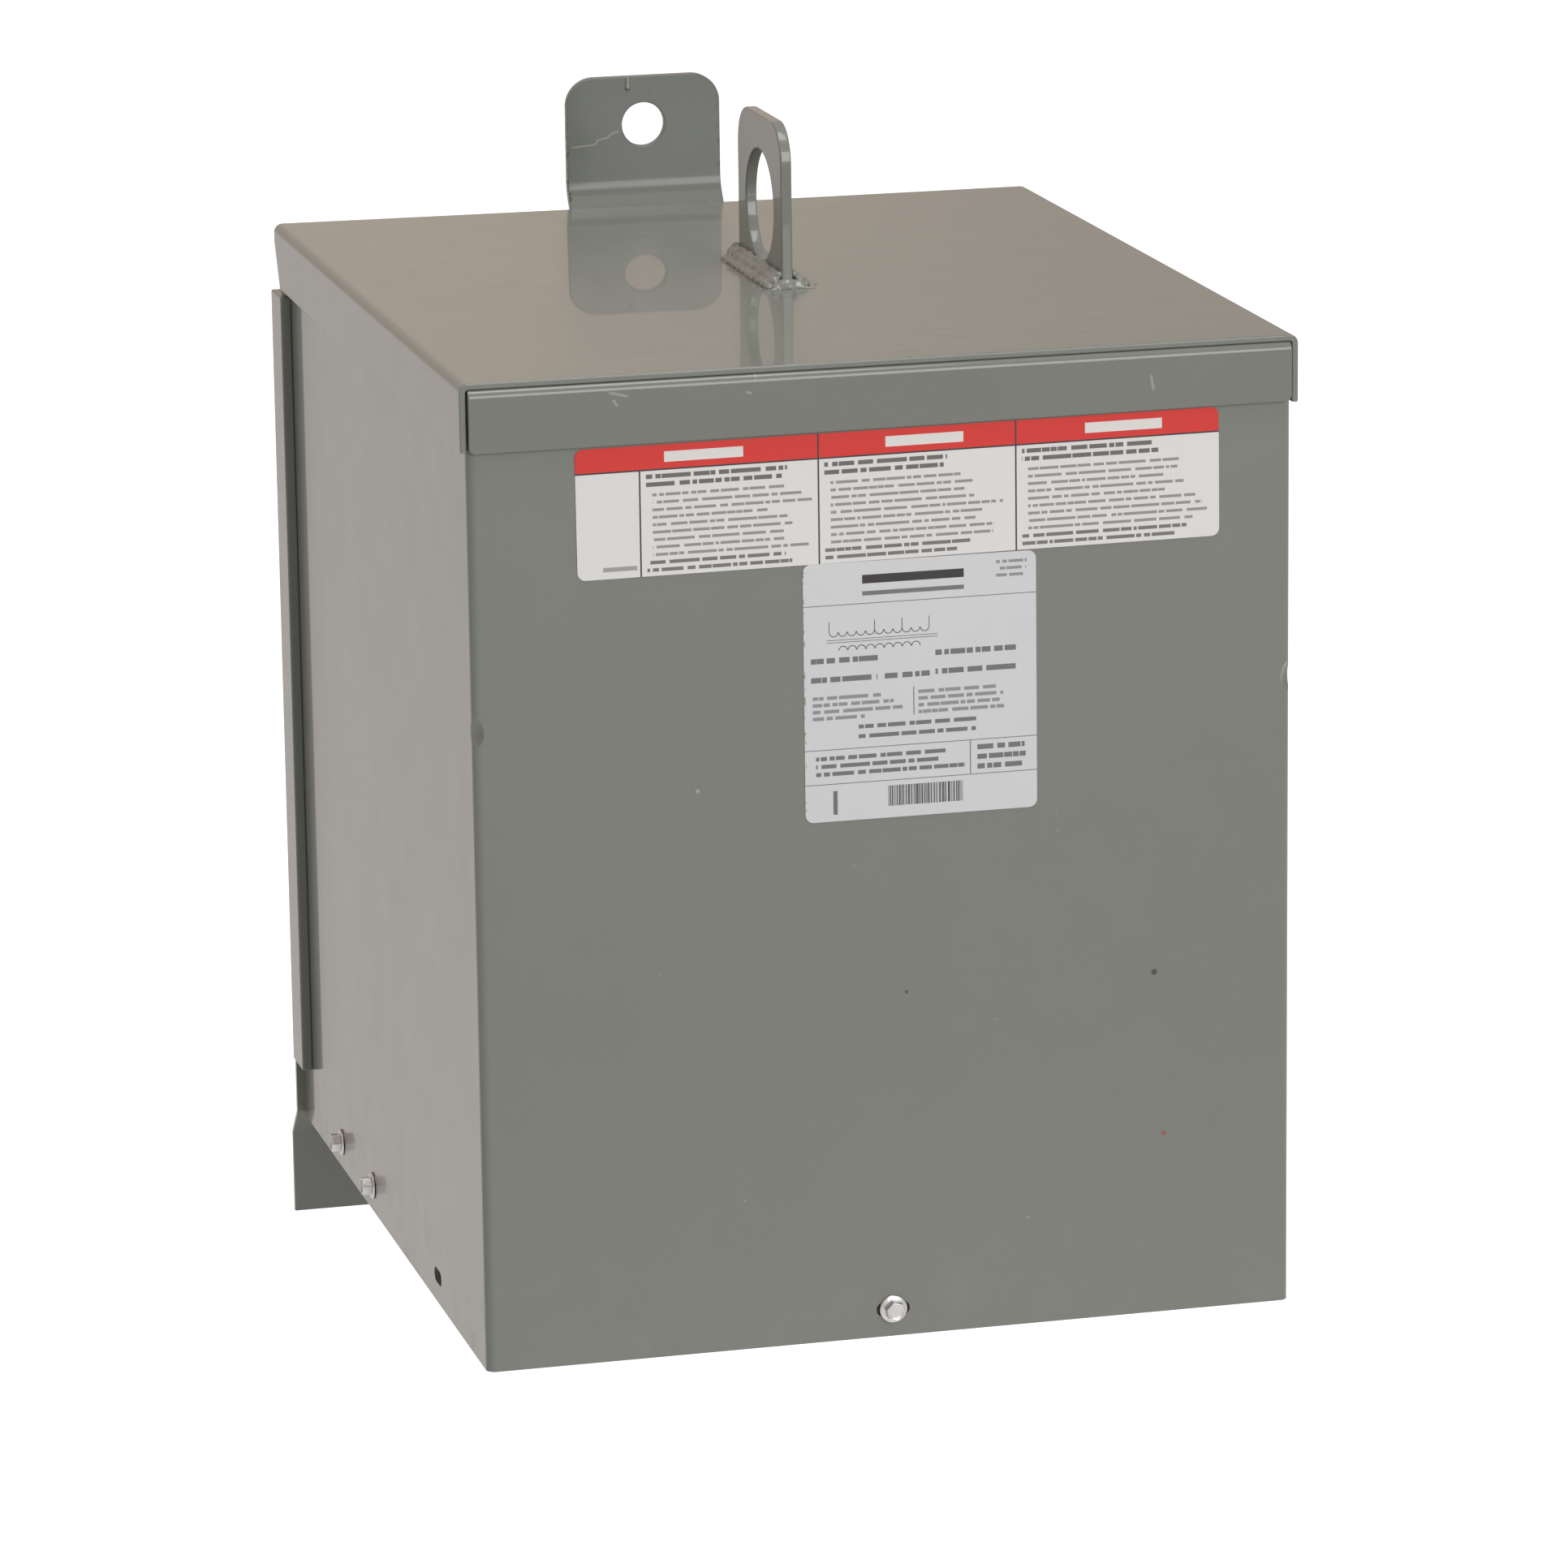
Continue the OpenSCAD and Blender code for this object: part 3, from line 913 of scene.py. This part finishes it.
def box_mask(right, below, left_end, right_end, top, bottom, soft=0.15):
    """Mask of a plain rectangle."""
    return right.between(left_end, right_end, soft) * below.between(top, bottom, soft)


# %% Wide sticker
WIDE_SLOPE = 0.0055
BAND_H = 9.0
PANELS = ((25.0, 88.0), (90.6, 161.5), (164.2, 237.0))
PANEL_RULES = (88.8, 162.3)
RED = srgb(212, 38, 30)

wide_low, wide_high = (Vector(corner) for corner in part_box("wide_label"))
material, graph = material_graph("wide_sticker_print")
right, below = sheet_position(graph, wide_low, wide_high, WIDE_SLOPE)
band = 1 - below.rise(BAND_H - 0.1, BAND_H + 0.1)
colour = graph.mix(band, srgb(222, 219, 217), RED)
for number, (left_end, right_end) in enumerate(PANELS):
    middle = (left_end + right_end) / 2 - (12 if number == 0 else 0)
    title = box_mask(right, below, middle - 12, middle + 17, 2.6, 6.4)
    colour = graph.mix(title, colour, srgb(226, 222, 218))
    bold = rows(graph, right, below, left_end + 0.6, right_end - 8, 11.4, 2.9, 2, 1.6, number + 1)
    colour = graph.mix(bold * 0.85, colour, INK)
    body = rows(graph, right, below, left_end + 2.8, right_end - 1, 18.1, 2.72, 9, 1.05, number + 5)
    colour = graph.mix(body * 0.8, colour, SOFT_INK)
    foot = rows(graph, right, below, left_end + 0.6, right_end - 2, 42.7, 2.72, 2, 1.3, number + 9)
    colour = graph.mix(foot * 0.8, colour, INK)
rules = below.between(BAND_H - 0.3, BAND_H + 0.3, 0.1)
for rule in PANEL_RULES:
    rules = rules.highest(right.between(rule, rule + 0.6, 0.1))
rules = rules.highest(right.between(23.1, 23.7, 0.1) * (below > BAND_H))
colour = graph.mix(rules, colour, INK)
corner = box_mask(right, below, 9.5, 22, 43.4, 45.0)
colour = graph.mix(corner * 0.7, colour, SOFT_INK)
graph.surface(
    Base_Color=colour,
    Roughness=0.33 + 0.06 * graph.noise(graph.place(), 80, 3),
    Coat_Weight=0.25,
    Coat_Roughness=0.2,
    Normal=graph.bump(graph.noise(graph.place(), 25, 1), 0.0002),
)
bm = merged_copy("wide_label")
pivot = (wide_low + wide_high) / 2
turn = Matrix.Rotation(-WIDE_SLOPE, 3, "Y")
bmesh.ops.rotate(bm, verts=bm.verts, cent=pivot, matrix=turn)
add_piece(bm, "wide_label_printed", material, ["wide_label"])
print("wide sticker", [round((b - a) * 1000, 1) for a, b in zip(wide_low, wide_high)], "mm")

# %% Rating sticker
RATING_RULES = (15.5, 68.8, 81.6)
# Rows: left end, right end, first row, pitch, count, height, seed and raggedness.
RATING_ROWS = (
    (72, 84, 3.4, 2.5, 3, 1.1, 1, 0.2),
    (2.5, 30, 35.8, 7.0, 2, 2.0, 2, 0.1),
    (49, 82, 35.4, 7.0, 2, 2.0, 3, 0.1),
    (30, 47, 42.8, 9.0, 1, 2.0, 4, 0.1),
    (3, 37, 49.6, 2.5, 4, 1.3, 5, 0.45),
    (42.5, 83, 49.4, 2.5, 4, 1.3, 6, 0.3),
    (20, 67, 60.9, 3.6, 2, 1.5, 7, 0.1),
    (4, 60, 72.0, 2.9, 3, 1.5, 8, 0.2),
    (64.5, 84, 71.6, 3.6, 3, 1.9, 9, 0.15),
)
TAPS = (9.5, 26.5, 36.7, 46.9)
TURN_D = 3.4

rating_low, rating_high = (Vector(corner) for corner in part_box("rating_label"))
material, graph = material_graph("rating_sticker_print")
right, below = sheet_position(graph, rating_low, rating_high)
paper = graph.noise(graph.place(), 70, 3)
colour = graph.mix(paper, srgb(206, 206, 207), srgb(212, 211, 212))
for top in RATING_RULES:
    colour = graph.mix(below.between(top - 0.15, top + 0.15, 0.1), colour, SOFT_INK)
colour = graph.mix(box_mask(right, below, 61.8, 62.2, 68.8, 81.6), colour, SOFT_INK)
colour = graph.mix(box_mask(right, below, 40.7, 41.1, 47.4, 57.8), colour, SOFT_INK)
colour = graph.mix(box_mask(right, below, 22, 60, 5.0, 8.2), colour, INK)
colour = graph.mix(box_mask(right, below, 22, 60, 11.0, 12.6), colour, SOFT_INK)
for row in RATING_ROWS:
    height = row[5]
    text = rows(graph, right, below, *row)
    colour = graph.mix(text * 0.78, colour, SOFT_INK if height < 1.4 else INK)


def coil(graph, right, below, left_end, right_end, level, way):
    """Mask of a row of half circles, the drawing sign for a winding."""
    cell = ((right - left_end) / TURN_D).floor()
    offset = right - left_end - (cell + 0.5) * TURN_D
    drop = below - level
    reach = graph.node("ShaderNodeMath", {"operation": "SQRT"}, {0: offset * offset + drop * drop})
    ring = reach.between(TURN_D / 2 - 0.28, TURN_D / 2 + 0.02, 0.15)
    return ring * right.between(left_end, right_end, 0.1) * ((drop * way) > 0)


drawing = coil(graph, right, below, 9.5, 46.9, 25.5, 1)
drawing = drawing.highest(coil(graph, right, below, 13, 43.6, 32.3, -1))
drawing = drawing.highest(box_mask(right, below, 8.5, 50, 28.3, 28.5, 0.1))
drawing = drawing.highest(box_mask(right, below, 8.5, 50, 29.2, 29.4, 0.1))
for tap in TAPS:
    drawing = drawing.highest(box_mask(right, below, tap - 0.14, tap + 0.14, 21.6, 25.6, 0.1))
colour = graph.mix(drawing, colour, INK)
stripes = graph.noise_along(right, 2.6).rise(0.47, 0.5)
stripes = stripes * box_mask(right, below, 31, 59.2, 83.6, 91.2)
colour = graph.mix(stripes, colour, INK)
upright_bar = box_mask(right, below, 10.4, 12.0, 84.2, 93.0)
colour = graph.mix(upright_bar * 0.8, colour, INK)
edge = right.between(-0.5, 0.6, 0.2) * graph.noise(graph.place(), 500, 2).rise(0.56, 0.62)
colour = graph.mix(edge, colour, srgb(150, 150, 146))
graph.surface(
    Base_Color=colour,
    Roughness=0.42 + 0.08 * paper,
    Normal=graph.bump(paper, 0.0002),
)
dress("rating_label", material)
print("rating sticker dressed")

# %% [markdown]
# ## What stays as the CAD made it
# The wrap, the bottom cover and the potted core are right as they are, so they only get their
# materials. The core is hidden behind the other two, and is a dark sandy resin.

# %% Wrap, cover and core
dress("enclosure_wrap", paint_wall)
dress("bottom_cover", paint_plain)
material, graph = material_graph("sand_resin")
place = graph.place()
sand = graph.noise(place, 700, 3)
colour = graph.mix(sand, srgb(52, 50, 46), srgb(84, 80, 72))
graph.surface(Base_Color=colour, Roughness=0.55 + 0.3 * sand, Normal=graph.bump(sand, 0.0004))
dress("potted_core", material)
